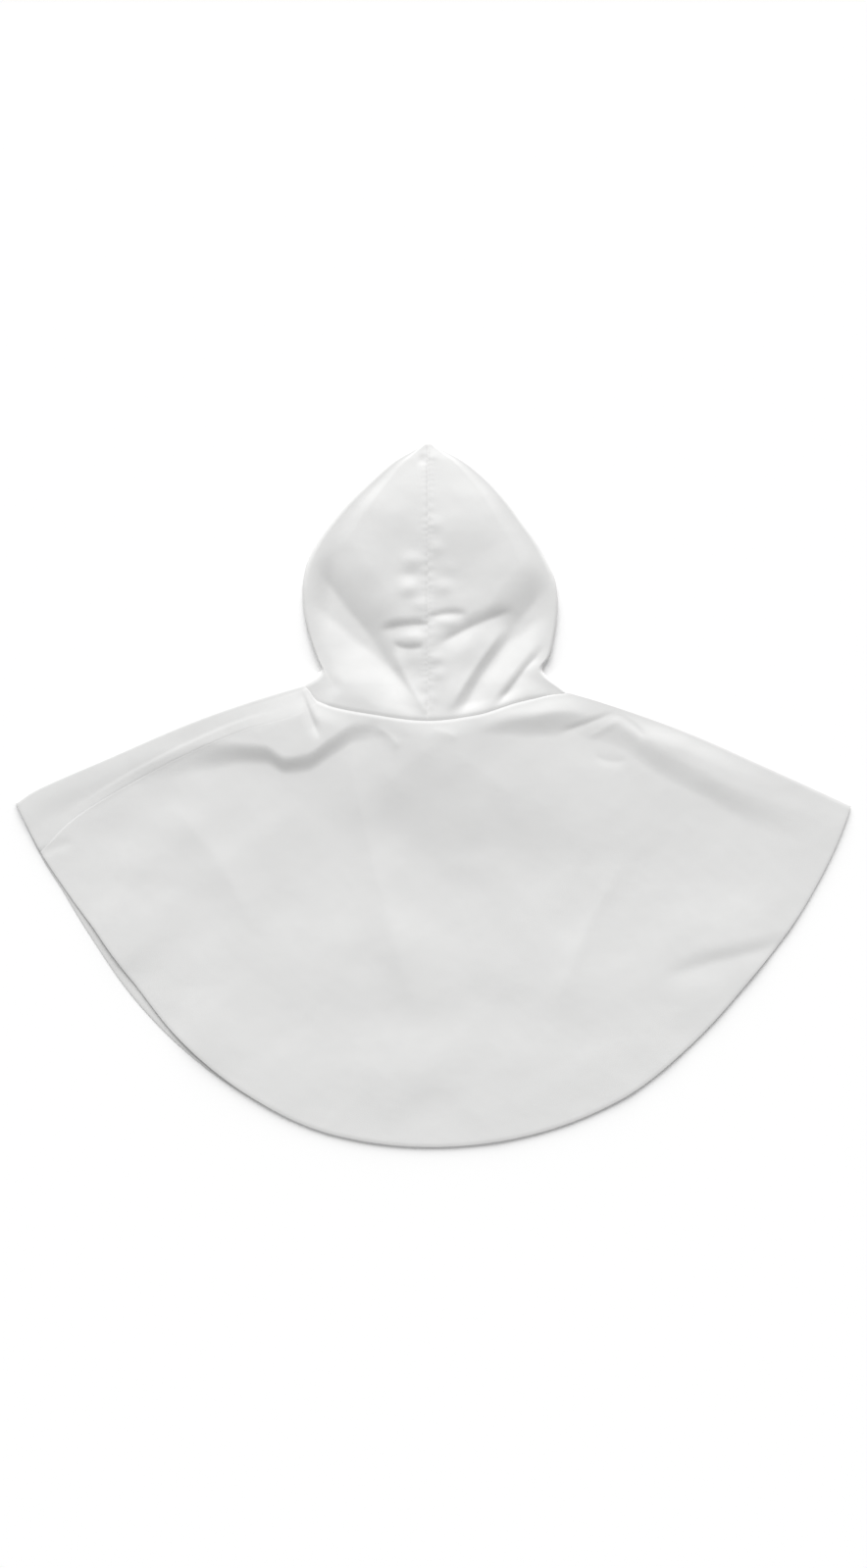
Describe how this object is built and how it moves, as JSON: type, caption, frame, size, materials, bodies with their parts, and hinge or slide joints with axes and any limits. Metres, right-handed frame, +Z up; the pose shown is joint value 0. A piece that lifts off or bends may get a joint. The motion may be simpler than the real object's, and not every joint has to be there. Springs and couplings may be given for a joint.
{
  "type": "hooded cape",
  "caption": "Child's pull-on hooded cape in plain white cotton sateen, laid flat with its back up; pointed two-piece hood, curved hem.",
  "frame": {"origin": "on the surface it lies on, under the middle of the garment's bounding box", "axes": "+X across the shoulders, to the right seen from above with the hood away from the viewer; +Y from the hem to the hood's peak; +Z up, out of the cape's back"},
  "size_m": [0.9005, 0.7587, 0.0144],
  "materials": {
    "white_sateen": "smooth cotton sateen with a soft, low sheen and a fine weave that hardly shows"
  },
  "bodies": {
    "root": {"front_panel": "white_sateen", "back_panel": "white_sateen", "hood_left": "white_sateen", "hood_right": "white_sateen"}
  },
  "joints": []
}
